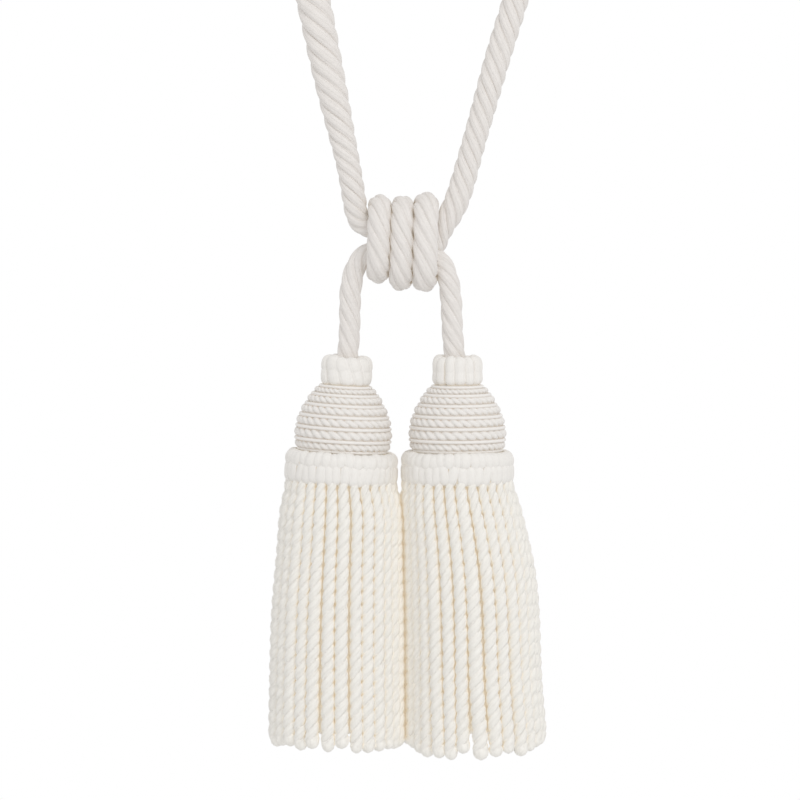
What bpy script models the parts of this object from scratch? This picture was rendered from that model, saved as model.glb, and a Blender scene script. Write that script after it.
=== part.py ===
"""A curtain tieback: a loop of twisted cord, a wrapped knot and two tassels with bullion fringe.

The model hangs from the top of its loop, which is the origin. X is to the right, Y to the back
and Z up. Rows of the tables below are in millimetres from the middle of the knot.
"""
import math
import random
from collections import namedtuple

import bmesh
import bpy
import numpy as np
from mathutils import Vector

MM = 0.001

# Where the parts lie, in millimetres from the middle of the knot
LOOP_TOP = Vector((4.0, 0.0, 210.5))
HEAD_TOP_DROP = 70.5
CLEARANCE = 0.3

# Twisted cord: five plies, with the lay given in cord diameters
POINTS_PER_MM = 4
PLIES = 5
RINGS_PER_LAY = 10
LOOP_LAY = 2.95
WRAP_LAY = 3.66
TAIL_LAY = 4.4
PLY_SHOULDER = math.radians(18)
PLY_VALLEY = 0.78

# Knot wraps: an upright oval coil round the two cords, with its turning points in degrees
WRAP_CORE = 5.3
WRAP_ROUND = 11.5
WRAP_CORNER = 2.2
WRAP_LEAN = 0.8
WRAP_BACK_DIAMETER = 10.3
WRAP_START = 50.0
WRAP_LEAVE = 275.0
WRAP_JOIN = 420.0
WRAP_END = 300.0
WRAP_STEP = 0.8

# Collar: a gathered ring round the cord's end
COLLAR_RADIUS = 12.7
COLLAR_HOLE = 6.9
COLLAR_RIBS = 14
COLLAR_RIB_DEPTH = 0.9

# Head: a bell wound with gimp and fine cord
HEAD_HEIGHT = 34.0
HEAD_COLUMNS = 20
GIMP_PROUD = 0.55
FINE_CORD_PROUD = 0.3
WINDING_VALLEY = 0.45

# Fringe heading band and its strands
BAND_RADIUS = 28.3
BAND_LUMPS = 36
BAND_LUMP_DEPTH = 0.7
STRANDS = 30
INNER_STRANDS = 14
STRAND_SIDES = 4
STRAND_STEPS = 6
INNER_STEPS = 2
STRAND_TWIST = math.radians(34)
INNER_RING = 0.56
STRAND_SWAY = 0.14
STRAND_SWAY_TURNS = 1.1
STRAND_END_TAPER = 0.55
STRAND_END_LENGTH = 0.45
SEED = 11

RoutePoint = namedtuple("RoutePoint", "x y z diameter")
WrapTurn = namedtuple("WrapTurn", "x z half_height diameter")
EdgeRow = namedtuple("EdgeRow", "inset height")
HeadRow = namedtuple("HeadRow", "depth radius")
SkirtRow = namedtuple("SkirtRow", "drop centre_x radius strand")
Tassel = namedtuple("Tassel", "name side_x lean end_spread skirt")

LOOP_ROUTE = [
    RoutePoint(-0.2, 0.0, 6.2, 9.8),
    RoutePoint(-6.0, 0.0, 6.7, 9.8),
    RoutePoint(-12.0, 0.0, 7.3, 9.8),
    RoutePoint(-17.2, 0.0, 8.0, 10.4),
    RoutePoint(-21.0, 0.0, 10.8, 11.0),
    RoutePoint(-23.2, 0.0, 15.6, 11.3),
    RoutePoint(-24.5, 0.0, 24.0, 11.8),
    RoutePoint(-26.3, 0.0, 36.5, 12.2),
    RoutePoint(-29.5, 0.0, 51.5, 13.2),
    RoutePoint(-33.9, 0.0, 71.5, 15.2),
    RoutePoint(-39.2, 0.0, 96.5, 16.6),
    RoutePoint(-44.4, 0.0, 121.5, 17.4),
    RoutePoint(-49.6, 0.0, 148.0, 17.2),
    RoutePoint(-44.5, 0.0, 175.5, 16.4),
    RoutePoint(-24.5, 0.0, 196.5, 15.6),
    RoutePoint(4.0, 0.0, 203.0, 15.0),
    RoutePoint(36.0, 0.0, 196.5, 14.4),
    RoutePoint(57.5, 0.0, 175.5, 13.8),
    RoutePoint(62.0, 0.0, 148.0, 13.4),
    RoutePoint(56.6, 0.0, 121.5, 13.2),
    RoutePoint(48.9, 0.0, 96.5, 13.2),
    RoutePoint(41.8, 0.0, 71.5, 12.6),
    RoutePoint(34.8, 0.0, 46.5, 12.2),
    RoutePoint(31.5, 0.0, 34.5, 12.6),
    RoutePoint(28.5, 0.0, 24.5, 12.8),
    RoutePoint(25.3, 0.0, 15.8, 12.2),
    RoutePoint(21.6, 0.0, 9.4, 11.2),
    RoutePoint(17.0, 0.0, 6.2, 10.4),
    RoutePoint(12.0, 0.0, 6.0, 9.8),
    RoutePoint(6.0, 0.0, 6.0, 9.8),
    RoutePoint(0.2, 0.0, 6.1, 9.8),
]

TASSEL_CORD_ROUTE = [
    RoutePoint(-28.0, 0.0, -69.8, 10.4),
    RoutePoint(-27.4, 0.0, -60.0, 10.6),
    RoutePoint(-26.6, 0.3, -50.0, 10.8),
    RoutePoint(-26.1, 0.8, -40.0, 10.8),
    RoutePoint(-26.0, 1.2, -30.0, 11.0),
    RoutePoint(-25.4, 1.5, -21.5, 11.0),
    RoutePoint(-23.8, 1.5, -14.0, 10.6),
    RoutePoint(-20.9, 1.2, -8.2, 10.2),
    RoutePoint(-16.8, 0.6, -4.6, 10.0),
    RoutePoint(-12.0, 0.0, -3.4, 10.0),
    RoutePoint(-6.0, 0.0, -4.0, 10.0),
    RoutePoint(0.0, 0.0, -4.6, 10.0),
    RoutePoint(6.0, 0.0, -4.9, 10.0),
    RoutePoint(12.0, -0.3, -5.0, 10.0),
    RoutePoint(16.2, -1.0, -6.6, 10.2),
    RoutePoint(19.7, -1.8, -9.9, 10.4),
    RoutePoint(22.1, -2.0, -14.8, 10.6),
    RoutePoint(23.7, -1.6, -21.2, 10.8),
    RoutePoint(24.6, -1.0, -29.4, 11.0),
    RoutePoint(25.0, -0.5, -39.0, 10.8),
    RoutePoint(25.6, 0.0, -49.0, 10.8),
    RoutePoint(26.8, 0.0, -60.0, 10.6),
    RoutePoint(27.5, 0.0, -69.8, 10.4),
]

# Each turn at the front of the knot, left to right
WRAP_TURNS = [
    WrapTurn(-11.9, 2.1, 21.9, 10.9),
    WrapTurn(-0.6, 0.0, 23.5, 11.0),
    WrapTurn(11.2, 0.6, 24.6, 11.8),
]

# Outlines of the collar, from its hole round to its hole, and of the heading band, top to bottom
COLLAR_EDGE = [
    EdgeRow(1.2, 0.0),
    EdgeRow(0.0, 1.8),
    EdgeRow(0.0, 9.7),
    EdgeRow(1.6, 12.8),
    EdgeRow(4.0, 13.9),
]
COLLAR_DISH = 0.6
BAND_EDGE = [
    EdgeRow(4.5, 0.0),
    EdgeRow(0.4, -2.4),
    EdgeRow(0.0, -4.8),
    EdgeRow(1.0, -9.4),
    EdgeRow(0.0, -14.0),
    EdgeRow(0.8, -18.2),
    EdgeRow(1.8, -19.0),
]

# Outline of the head under its windings, down from the collar
HEAD_ROWS = [
    HeadRow(0.0, 12.0),
    HeadRow(1.5, 13.4),
    HeadRow(4.5, 16.3),
    HeadRow(8.75, 19.0),
    HeadRow(14.25, 21.9),
    HeadRow(20.25, 23.7),
    HeadRow(25.25, 24.3),
    HeadRow(30.75, 23.5),
    HeadRow(34.0, 22.0),
]
GIMP_DEPTHS = [1.25, 5.25, 10.25, 15.75, 21.5, 27.75, 33.0]

LEFT_SKIRT = [
    SkirtRow(120.3, -30.9, 27.3, 4.5),
    SkirtRow(126.0, -30.8, 29.3, 4.9),
    SkirtRow(149.5, -31.5, 31.6, 5.4),
    SkirtRow(180.0, -32.5, 33.3, 5.7),
    SkirtRow(210.5, -33.0, 34.0, 5.9),
    SkirtRow(241.5, -33.2, 34.3, 6.1),
    SkirtRow(260.0, -33.2, 34.2, 6.1),
]
RIGHT_SKIRT = [
    SkirtRow(120.3, 27.7, 27.3, 4.5),
    SkirtRow(126.0, 28.7, 28.9, 4.8),
    SkirtRow(140.0, 31.2, 30.5, 5.3),
    SkirtRow(160.5, 33.8, 32.6, 5.6),
    SkirtRow(192.0, 35.6, 33.8, 5.8),
    SkirtRow(223.0, 36.4, 34.3, 6.0),
    SkirtRow(249.0, 37.5, 35.3, 6.2),
    SkirtRow(262.0, 37.6, 35.3, 6.2),
]

TASSELS = [
    Tassel("left", -28.1, math.radians(3.1), 1.0, LEFT_SKIRT),
    Tassel("right", 27.7, 0.0, 3.0, RIGHT_SKIRT),
]
SKIRT_DROP = 247.6
SKIRT_END_RANGE = 2.0

# Finishes: base colour and roughness
FINISHES = {
    "cord_ivory": ((0.78, 0.75, 0.71), 0.62),
    "collar_ivory": ((0.83, 0.80, 0.75), 0.72),
    "head_ivory": ((0.79, 0.76, 0.71), 0.6),
    "fringe_ivory": ((0.86, 0.83, 0.77), 0.75),
}


def clear_scene():
    for item in list(bpy.data.objects):
        bpy.data.objects.remove(item)


def new_collection(name):
    collection = bpy.data.collections.new(name)
    bpy.context.scene.collection.children.link(collection)
    return collection


def finish(name):
    material = bpy.data.materials.get(name)
    if material is None:
        colour, roughness = FINISHES[name]
        material = bpy.data.materials.new(name)
        material.use_nodes = True
        shader = material.node_tree.nodes["Principled BSDF"]
        shader.inputs["Base Color"].default_value = (*colour, 1.0)
        shader.inputs["Roughness"].default_value = roughness
        shader.inputs["Metallic"].default_value = 0.0
    return material


def add_object(name, data, collection, parent=None):
    item = bpy.data.objects.new(name, data)
    collection.objects.link(item)
    item.parent = parent
    return item


def hide_guide(item):
    item.hide_render = True
    item.display_type = "WIRE"


def smooth_table(rows, marks):
    """Read a table's columns along a natural cubic curve through its rows, at any marks."""
    rows = np.array(rows, float)
    marks = np.array(marks, float)

    def read(at):
        count = len(marks)
        step = np.diff(marks)
        slope = np.diff(rows, axis=0) / step[:, None]
        system = np.eye(count)
        bend = np.zeros_like(rows)
        for i in range(1, count - 1):
            system[i, i - 1 : i + 2] = step[i - 1], 2 * (step[i - 1] + step[i]), step[i]
            bend[i] = 6 * (slope[i] - slope[i - 1])
        bend = np.linalg.solve(system, bend)
        at = np.clip(np.atleast_1d(at), marks[0], marks[-1])
        k = np.clip(np.searchsorted(marks, at) - 1, 0, count - 2)
        low = ((marks[k + 1] - at) / step[k])[:, None]
        high = 1 - low
        curve = (low**3 - low) * bend[k] + (high**3 - high) * bend[k + 1]
        return low * rows[k] + high * rows[k + 1] + curve * step[k][:, None] ** 2 / 6

    return read


def dense_route(route):
    """Close points along a smooth curve through a cord's route."""
    rows = np.array(route, float)
    marks = np.concatenate([[0], np.cumsum(np.linalg.norm(np.diff(rows[:, :3], axis=0), axis=1))])
    return smooth_table(rows, marks)(np.linspace(0, marks[-1], int(marks[-1] * POINTS_PER_MM)))


def wrap_route():
    """The knot's coil: upright over the front of each turn, and on to the next across the back."""
    turns = np.array(WRAP_TURNS, float)
    last = len(turns) - 1
    points = []
    for angle in np.arange(WRAP_START, 360 * last + WRAP_END, WRAP_STEP):
        turn = min(max(int((angle - WRAP_JOIN + 360) // 360), 0), last)
        crossed = (angle - 360 * turn - WRAP_LEAVE) / (WRAP_JOIN - WRAP_LEAVE)
        crossed = min(max(crossed, 0.0), 1.0)
        crossed = crossed * crossed * (3 - 2 * crossed)
        row = turns[turn] + crossed * (turns[min(turn + 1, last)] - turns[turn])
        x, z, half_height, diameter = row
        side, up = math.cos(math.radians(angle)), -math.sin(math.radians(angle))
        width = diameter + (WRAP_BACK_DIAMETER - diameter) * max(side, 0.0)
        rise = half_height - width / 2
        corner = math.tanh(WRAP_CORNER * up) / math.tanh(WRAP_CORNER)
        height = WRAP_ROUND * up + (rise - WRAP_ROUND) * corner
        lean = WRAP_LEAN * (0.5 + 0.5 * up)
        points.append((x + lean, (WRAP_CORE + width / 2) * side, z + height, width))
    return np.array(points)


def ply_profile(name, collection):
    """Cross-section of the twisted cord, of radius one millimetre: a lobe for each ply."""
    corners = []
    for ply in range(PLIES):
        middle = 2 * math.pi * ply / PLIES
        corners.append((middle - PLY_SHOULDER, 1.0))
        corners.append((middle + PLY_SHOULDER, 1.0))
        corners.append((middle + math.pi / PLIES, PLY_VALLEY))
    return profile_curve(name, corners, collection)


def strand_profile(name, collection):
    """Cross-section of a fringe strand, of radius one millimetre."""
    corners = [(2 * math.pi * k / STRAND_SIDES, 1.0) for k in range(STRAND_SIDES)]
    return profile_curve(name, corners, collection)


def profile_curve(name, corners, collection):
    curve = bpy.data.curves.new(name, "CURVE")
    curve.dimensions = "2D"
    spline = curve.splines.new("POLY")
    spline.points.add(len(corners) - 1)
    for point, (angle, radius) in zip(spline.points, reversed(corners)):
        point.co = (radius * MM * math.cos(angle), radius * MM * math.sin(angle), 0.0, 1.0)
    spline.use_cyclic_u = True
    item = add_object(name, curve, collection)
    hide_guide(item)
    return item


def sweep_curve(name, profile):
    curve = bpy.data.curves.new(name, "CURVE")
    curve.dimensions = "3D"
    curve.twist_mode = "MINIMUM"
    curve.bevel_mode = "OBJECT"
    curve.bevel_object = profile
    curve.use_fill_caps = True
    return curve


def add_spline(curve, points, radii, tilts):
    spline = curve.splines.new("POLY")
    spline.points.add(len(points) - 1)
    for point, place, radius, tilt in zip(spline.points, points, radii, tilts):
        point.co = (*(Vector(place) * MM), 1.0)
        point.radius = radius
        point.tilt = tilt


def twisted_cord(name, dense, lay, profile, parent, collection):
    """Sweep the plies along a cord, turning them once in each lay."""
    along = np.concatenate([[0], np.cumsum(np.linalg.norm(np.diff(dense[:, :3], axis=0), axis=1))])
    stops = [0.0]
    while stops[-1] < along[-1]:
        diameter = np.interp(stops[-1], along, dense[:, 3])
        stops.append(stops[-1] + lay * diameter / RINGS_PER_LAY)
    stops = np.array(stops) * along[-1] / stops[-1]
    rows = np.stack([np.interp(stops, along, dense[:, k]) for k in range(4)], axis=1)
    tilts = [-2 * math.pi * k / RINGS_PER_LAY for k in range(len(rows))]
    curve = sweep_curve(name, profile)
    add_spline(curve, rows[:, :3], rows[:, 3] / 2, tilts)
    curve.materials.append(finish("cord_ivory"))
    return add_object(name, curve, collection, parent)


def turned_mesh(name, profile, columns, closed=False):
    """Turn a profile of (radius, height) rows once round Z, with flat ends or closed as a sleeve."""
    model = bmesh.new()
    verts = [model.verts.new((radius * MM, 0.0, height * MM)) for radius, height in profile]
    edges = [model.edges.new(pair) for pair in zip(verts, verts[1:])]
    if closed:
        edges.append(model.edges.new((verts[-1], verts[0])))
    bmesh.ops.spin(
        model,
        geom=verts + edges,
        cent=(0, 0, 0),
        axis=(0, 0, 1),
        angle=2 * math.pi,
        steps=columns,
        use_merge=True,
    )
    bmesh.ops.remove_doubles(model, verts=model.verts, dist=0.01 * MM)
    bmesh.ops.holes_fill(model, edges=model.edges)
    bmesh.ops.recalc_face_normals(model, faces=model.faces)
    mesh = bpy.data.meshes.new(name)
    model.to_mesh(mesh)
    model.free()
    return mesh


def rib_mesh(mesh, ribs, depth, inner_radius):
    """Press a turned mesh in between its ribs, outside an inner radius."""
    for vertex in mesh.vertices:
        radius = math.hypot(vertex.co.x, vertex.co.y) / MM
        if radius > inner_radius:
            angle = math.atan2(vertex.co.y, vertex.co.x)
            pressed = radius - depth * (0.5 - 0.5 * math.cos(ribs * angle))
            vertex.co.x *= pressed / radius
            vertex.co.y *= pressed / radius


def edge_profile(radius, edge):
    return [(radius - row.inset, row.height) for row in edge]


def add_collar(tassel, hanger, collection):
    hole = [(COLLAR_HOLE, COLLAR_EDGE[-1].height - COLLAR_DISH), (COLLAR_HOLE, 0.0)]
    outline = edge_profile(COLLAR_RADIUS, COLLAR_EDGE) + hole
    mesh = turned_mesh(f"{tassel.name}_collar", outline, 2 * COLLAR_RIBS, closed=True)
    rib_mesh(mesh, COLLAR_RIBS, COLLAR_RIB_DEPTH, COLLAR_HOLE + 1.0)
    mesh.materials.append(finish("collar_ivory"))
    collar = add_object(f"{tassel.name}_collar", mesh, collection, hanger)
    collar.location = (0.0, 0.0, CLEARANCE * MM)


def head_profile():
    """The bell outline with a ridge at each gimp and a lower one at each fine cord between."""
    read = smooth_table([[row.radius] for row in HEAD_ROWS], [row.depth for row in HEAD_ROWS])
    profile = [(HEAD_ROWS[0].radius, 0.0)]
    for gimp, after in zip(GIMP_DEPTHS, GIMP_DEPTHS[1:]):
        fine_cord = (gimp + after) / 2
        windings = (
            (gimp, GIMP_PROUD),
            ((gimp + fine_cord) / 2, -WINDING_VALLEY),
            (fine_cord, FINE_CORD_PROUD),
            ((fine_cord + after) / 2, -WINDING_VALLEY),
        )
        for depth, proud in windings:
            profile.append((float(read(depth)[0, 0]) + proud, -depth))
    profile.append((float(read(GIMP_DEPTHS[-1])[0, 0]) + GIMP_PROUD, -GIMP_DEPTHS[-1]))
    profile.append((HEAD_ROWS[-1].radius, -HEAD_HEIGHT))
    return profile


def add_head(tassel, hanger, collection):
    mesh = turned_mesh(f"{tassel.name}_head", head_profile(), HEAD_COLUMNS)
    mesh.materials.append(finish("head_ivory"))
    mesh.shade_smooth()
    mesh.set_sharp_from_angle(angle=math.radians(50))
    add_object(f"{tassel.name}_head", mesh, collection, hanger)


def strand_rows(tassel, angle, ring, end_drop, steps, draw):
    """Points and radii of one strand: down its skirt, drawn in a little, with a rounded end."""
    rows = np.array(tassel.skirt, float)
    read = smooth_table(rows[:, 1:], rows[:, 0])
    drops = np.linspace(rows[0, 0], end_drop, steps + 1)
    sway = draw.uniform(-STRAND_SWAY, STRAND_SWAY)
    points = []
    radii = []
    for k, drop in enumerate(drops):
        centre_x, radius, width = read(drop)[0]
        reach = ring * (radius - width / 2) - abs(sway) * math.sin(math.pi * k / steps)
        turn = angle + sway / radius * math.sin(2 * math.pi * STRAND_SWAY_TURNS * k / steps)
        points.append((centre_x + reach * math.cos(turn), reach * math.sin(turn), -drop))
        radii.append(width / 2)
    end = points[-1]
    points.append((end[0], end[1], end[2] - STRAND_END_LENGTH * radii[-1]))
    radii.append(STRAND_END_TAPER * radii[-1])
    return points, radii


def add_fringe(tassel, profile, knot, hanger, collection, guides):
    """The heading band with every strand fused into its underside."""
    name = f"{tassel.name}_fringe"
    draw = random.Random(SEED + len(tassel.name))
    curve = sweep_curve(f"{name}_strands", profile)
    rings = ((STRANDS, 1.0, STRAND_STEPS, 0.5), (INNER_STRANDS, INNER_RING, INNER_STEPS, 0.0))
    for count, ring, steps, offset in rings:
        for k in range(count):
            angle = 2 * math.pi * (k + offset) / count
            end = SKIRT_DROP + draw.uniform(0.0, SKIRT_END_RANGE + tassel.end_spread * ring)
            points, radii = strand_rows(tassel, angle, ring, end, steps, draw)
            tilts = [STRAND_TWIST * j for j in range(len(points))]
            add_spline(curve, points, radii, tilts)
    swept = add_object(f"{name}_swept", curve, guides, knot)
    bpy.context.view_layer.update()
    mesh = bpy.data.meshes.new_from_object(swept.evaluated_get(bpy.context.evaluated_depsgraph_get()))
    weld_mesh(mesh)
    strands = add_object(f"{name}_strands", mesh, guides)
    strands.matrix_world = swept.matrix_world
    hide_guide(strands)
    bpy.data.objects.remove(swept)

    band = turned_mesh(name, edge_profile(BAND_RADIUS, BAND_EDGE), 2 * BAND_LUMPS)
    rib_mesh(band, BAND_LUMPS, BAND_LUMP_DEPTH, BAND_RADIUS - 3.0)
    band.materials.append(finish("fringe_ivory"))
    fringe = add_object(name, band, collection, hanger)
    fringe.location = (0.0, 0.0, -(HEAD_HEIGHT + CLEARANCE) * MM)
    union = fringe.modifiers.new("strands", "BOOLEAN")
    union.operation = "UNION"
    union.solver = "EXACT"
    union.object = strands


def weld_mesh(mesh):
    model = bmesh.new()
    model.from_mesh(mesh)
    bmesh.ops.remove_doubles(model, verts=model.verts, dist=0.01 * MM)
    bmesh.ops.recalc_face_normals(model, faces=model.faces)
    model.to_mesh(mesh)
    model.free()


def add_empty(name, location, collection, parent=None):
    item = add_object(name, None, collection, parent)
    item.location = location
    item.empty_display_size = 10 * MM
    return item


def build():
    clear_scene()
    parts = new_collection("curtain_tieback")
    guides = new_collection("guides")
    plies = ply_profile("ply_section", guides)
    strand = strand_profile("strand_section", guides)
    knot = add_empty("knot_middle", -LOOP_TOP * MM, guides)

    twisted_cord("hanging_loop", dense_route(LOOP_ROUTE), LOOP_LAY, plies, knot, parts)
    twisted_cord("knot_wraps", wrap_route(), WRAP_LAY, plies, knot, parts)
    twisted_cord("tassel_cord", dense_route(TASSEL_CORD_ROUTE), TAIL_LAY, plies, knot, parts)

    for tassel in TASSELS:
        place = Vector((tassel.side_x, 0.0, -HEAD_TOP_DROP)) * MM
        hanger = add_empty(f"{tassel.name}_tassel", place, guides, knot)
        hanger.rotation_euler = (0.0, tassel.lean, 0.0)
        add_collar(tassel, hanger, parts)
        add_head(tassel, hanger, parts)
        add_fringe(tassel, strand, knot, hanger, parts, guides)
    bpy.context.view_layer.update()


build()
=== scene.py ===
# %% [markdown]
# # A curtain tieback in twisted cord, with two tassels
#
# A tieback is made of four kinds of work. A thick five-ply cord is bent into a loop that goes
# round the curtain. A second length is wrapped three times round the place where the loop ends,
# which makes the knot. A tassel hangs from each end of the cord that passes through the knot: a
# turned mould wound with gimp and fine cord, a gathered collar above it, and a bullion fringe
# below it. This lesson lays up the yarns of each piece in turn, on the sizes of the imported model.

import math
import random
from collections import namedtuple

import bpy
import numpy as np
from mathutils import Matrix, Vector


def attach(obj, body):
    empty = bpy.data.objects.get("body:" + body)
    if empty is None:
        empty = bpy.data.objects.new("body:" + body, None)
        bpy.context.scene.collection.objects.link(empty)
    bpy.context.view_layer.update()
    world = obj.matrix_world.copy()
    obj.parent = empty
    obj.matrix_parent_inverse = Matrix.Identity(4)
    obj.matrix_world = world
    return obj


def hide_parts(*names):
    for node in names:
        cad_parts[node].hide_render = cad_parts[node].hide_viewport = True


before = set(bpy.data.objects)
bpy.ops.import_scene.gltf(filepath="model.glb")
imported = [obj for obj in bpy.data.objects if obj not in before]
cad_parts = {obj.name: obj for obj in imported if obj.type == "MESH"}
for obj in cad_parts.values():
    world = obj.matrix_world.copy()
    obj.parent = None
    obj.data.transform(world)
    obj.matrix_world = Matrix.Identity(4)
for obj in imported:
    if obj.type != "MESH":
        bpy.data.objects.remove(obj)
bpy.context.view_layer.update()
MM = 0.001
print("packed nodes:", sorted(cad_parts))

# %% [markdown]
# ## The camera
#
# The camera stands 5 m in front and a little above the tassels, so that the rings on their
# heads bow gently. A very long lens keeps the two tassels free of perspective. The picture is
# 400 mm wide where the tieback hangs, so one pixel is half a millimetre, and the loop's crown
# lies above its upper edge.

# %% Place the camera
PICTURE_WIDTH = 400 * MM
PICTURE_CENTRE = Vector((-5 * MM, 0, -289 * MM))
CAMERA_DISTANCE = 5.0
CAMERA_ELEVATION = math.radians(3.5)
SENSOR = 36.0


def place_camera():
    lens = bpy.data.cameras.new("camera")
    lens.sensor_width = SENSOR
    lens.lens = SENSOR * CAMERA_DISTANCE / PICTURE_WIDTH
    camera = bpy.data.objects.new("camera", lens)
    bpy.context.scene.collection.objects.link(camera)
    back = Vector((0, -math.cos(CAMERA_ELEVATION), math.sin(CAMERA_ELEVATION)))
    camera.location = PICTURE_CENTRE + back * CAMERA_DISTANCE
    camera.rotation_mode = "QUATERNION"
    camera.rotation_quaternion = (-back).to_track_quat("-Z", "Y")
    bpy.context.scene.camera = camera
    return camera


print("lens in mm:", round(place_camera().data.lens, 1))

# %% [markdown]
# ## One way to sweep every yarn
#
# All of the tieback is yarn: plies in the cord, gimp and fine cord on the heads, stitches in the
# headings, strands in the fringe. Blender's curve bevel could sweep a yarn, but it can't carry
# the small ridges of the fibres round with the twist. So one small class sweeps a section along
# rows of points itself and joins any number of yarns in one mesh. It also keeps a map across and
# along each yarn, which the finishes need to place the fibres.

# %% Vectors and smooth tables
UP = np.array([0.0, 0.0, 1.0])


def unit(vectors):
    return vectors / np.linalg.norm(vectors, axis=-1, keepdims=True)


def ease(share):
    """Nought to one, starting and ending gently."""
    share = np.clip(share, 0.0, 1.0)
    return share * share * (3 - 2 * share)


def level_outward(angles):
    """Level directions, away from the upright line through the middle."""
    return np.stack([np.cos(angles), np.sin(angles), np.zeros_like(angles)], axis=1)


def run_length(points):
    steps = np.linalg.norm(np.diff(points, axis=0), axis=1)
    return np.concatenate([[0], np.cumsum(steps)])


def smooth_table(rows, marks):
    """Read a table's columns along a natural cubic curve through its rows, at any marks."""
    rows = np.array(rows, float)
    marks = np.array(marks, float)
    count = len(marks)
    step = np.diff(marks)
    slope = np.diff(rows, axis=0) / step[:, None]
    system = np.eye(count)
    bend = np.zeros_like(rows)
    for i in range(1, count - 1):
        system[i, i - 1 : i + 2] = step[i - 1], 2 * (step[i - 1] + step[i]), step[i]
        bend[i] = 6 * (slope[i] - slope[i - 1])
    bend = np.linalg.solve(system, bend)

    def read(at):
        at = np.clip(np.atleast_1d(at), marks[0], marks[-1])
        k = np.clip(np.searchsorted(marks, at) - 1, 0, count - 2)
        low = ((marks[k + 1] - at) / step[k])[:, None]
        high = 1 - low
        curve = (low**3 - low) * bend[k] + (high**3 - high) * bend[k + 1]
        return low * rows[k] + high * rows[k + 1] + curve * step[k][:, None] ** 2 / 6

    return read


def carried_frame(points):
    """The tangents of a line, and two directions across it that never turn by themselves."""
    tangents = unit(np.gradient(points, axis=0))
    side = np.array([0.0, 1.0, 0.0]) if abs(tangents[0][1]) < 0.9 else np.array([1.0, 0.0, 0.0])
    sides = []
    for tangent in tangents:
        side = unit(side - tangent * (side @ tangent))
        sides.append(side)
    sides = np.array(sides)
    return tangents, sides, np.cross(tangents, sides)


# %% The yarn sweeper
class Yarns:
    """Sweeps yarns, in millimetres, and joins them in one mesh."""

    def __init__(self):
        self.points = []
        self.faces = []
        self.maps = []
        self.count = 0

    def sweep(self, centres, outward, half_out, half_across, sides, turn=0.0, ridges=0, ridge=0.0):
        """One yarn. Outward is the side that shows; turn is how far the fibres turn per mm."""
        rings = len(centres)
        tangents = unit(np.gradient(centres, axis=0))
        outward = unit(outward - tangents * np.sum(outward * tangents, axis=1, keepdims=True))
        across = np.cross(tangents, outward)
        along = run_length(centres)
        spread = 2 * math.pi * np.arange(sides) / sides
        angles = spread[None, :] + turn * along[:, None]
        swell = 1 + ridge * (np.abs(np.cos(ridges * spread / 2)) - 0.5) if ridges else 1.0
        out = np.cos(angles) * swell * np.broadcast_to(half_out, rings)[:, None]
        side = np.sin(angles) * swell * np.broadcast_to(half_across, rings)[:, None]
        ring_points = (
            centres[:, None, :]
            + out[:, :, None] * outward[:, None, :]
            + side[:, :, None] * across[:, None, :]
        )
        self.points.append(ring_points.reshape(-1, 3))
        self.add_faces(rings, sides, along)
        self.count += rings * sides

    def add_faces(self, rings, sides, along):
        """Four-sided faces between the rings and a cap at each end, all with their map."""
        ring = np.arange(rings - 1)[:, None]
        column = np.arange(sides)[None, :]
        beside = (column + 1) % sides
        here = self.count
        quads = np.stack(
            [
                here + ring * sides + column,
                here + ring * sides + beside,
                here + (ring + 1) * sides + beside,
                here + (ring + 1) * sides + column,
            ],
            axis=-1,
        ).reshape(-1, 4)
        u = np.stack([column, column + 1, column + 1, column], axis=-1) / sides
        u = np.broadcast_to(u, (rings - 1, sides, 4))
        v = np.stack([along[ring], along[ring], along[ring + 1], along[ring + 1]], axis=-1)
        v = np.broadcast_to(v, (rings - 1, sides, 4))
        self.faces.extend(quads.tolist())
        self.maps.append(np.stack([u, v], axis=-1).reshape(-1, 2))
        for first, order in ((here, -1), (here + (rings - 1) * sides, 1)):
            self.faces.append(list(range(first, first + sides))[::order])
            self.maps.append(np.zeros((sides, 2)))

    def make(self, name, middle=Vector((0, 0, 0))):
        mesh = bpy.data.meshes.new(name)
        places = np.concatenate(self.points) * MM + np.array(middle)
        mesh.from_pydata(places.tolist(), [], self.faces)
        mesh.uv_layers.new(name="yarn")
        mesh.uv_layers["yarn"].data.foreach_set("uv", np.concatenate(self.maps).ravel())
        mesh.shade_smooth()
        piece = bpy.data.objects.new(name, mesh)
        bpy.context.scene.collection.objects.link(piece)
        triangles = sum(len(face.vertices) - 2 for face in mesh.polygons)
        print(f"{name}: {triangles} triangles")
        return piece


# %% [markdown]
# ## Laying up a twisted cord
#
# A rope walk lays five plies round each other. Each ply is itself spun from yarns, the other
# way, so that the cord doesn't untwist. The lesson does the same: it turns five ply lines round
# the cord's line, once in each lay, and sweeps a ridged section along each. The plies are a
# little fatter than they would be side by side, because soft cotton presses together, and the
# valleys between them stay shallow.

# %% Lay up plies round a line
RINGS_PER_LAY = 30
Z_TWIST = 1
S_TWIST = -1


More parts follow.
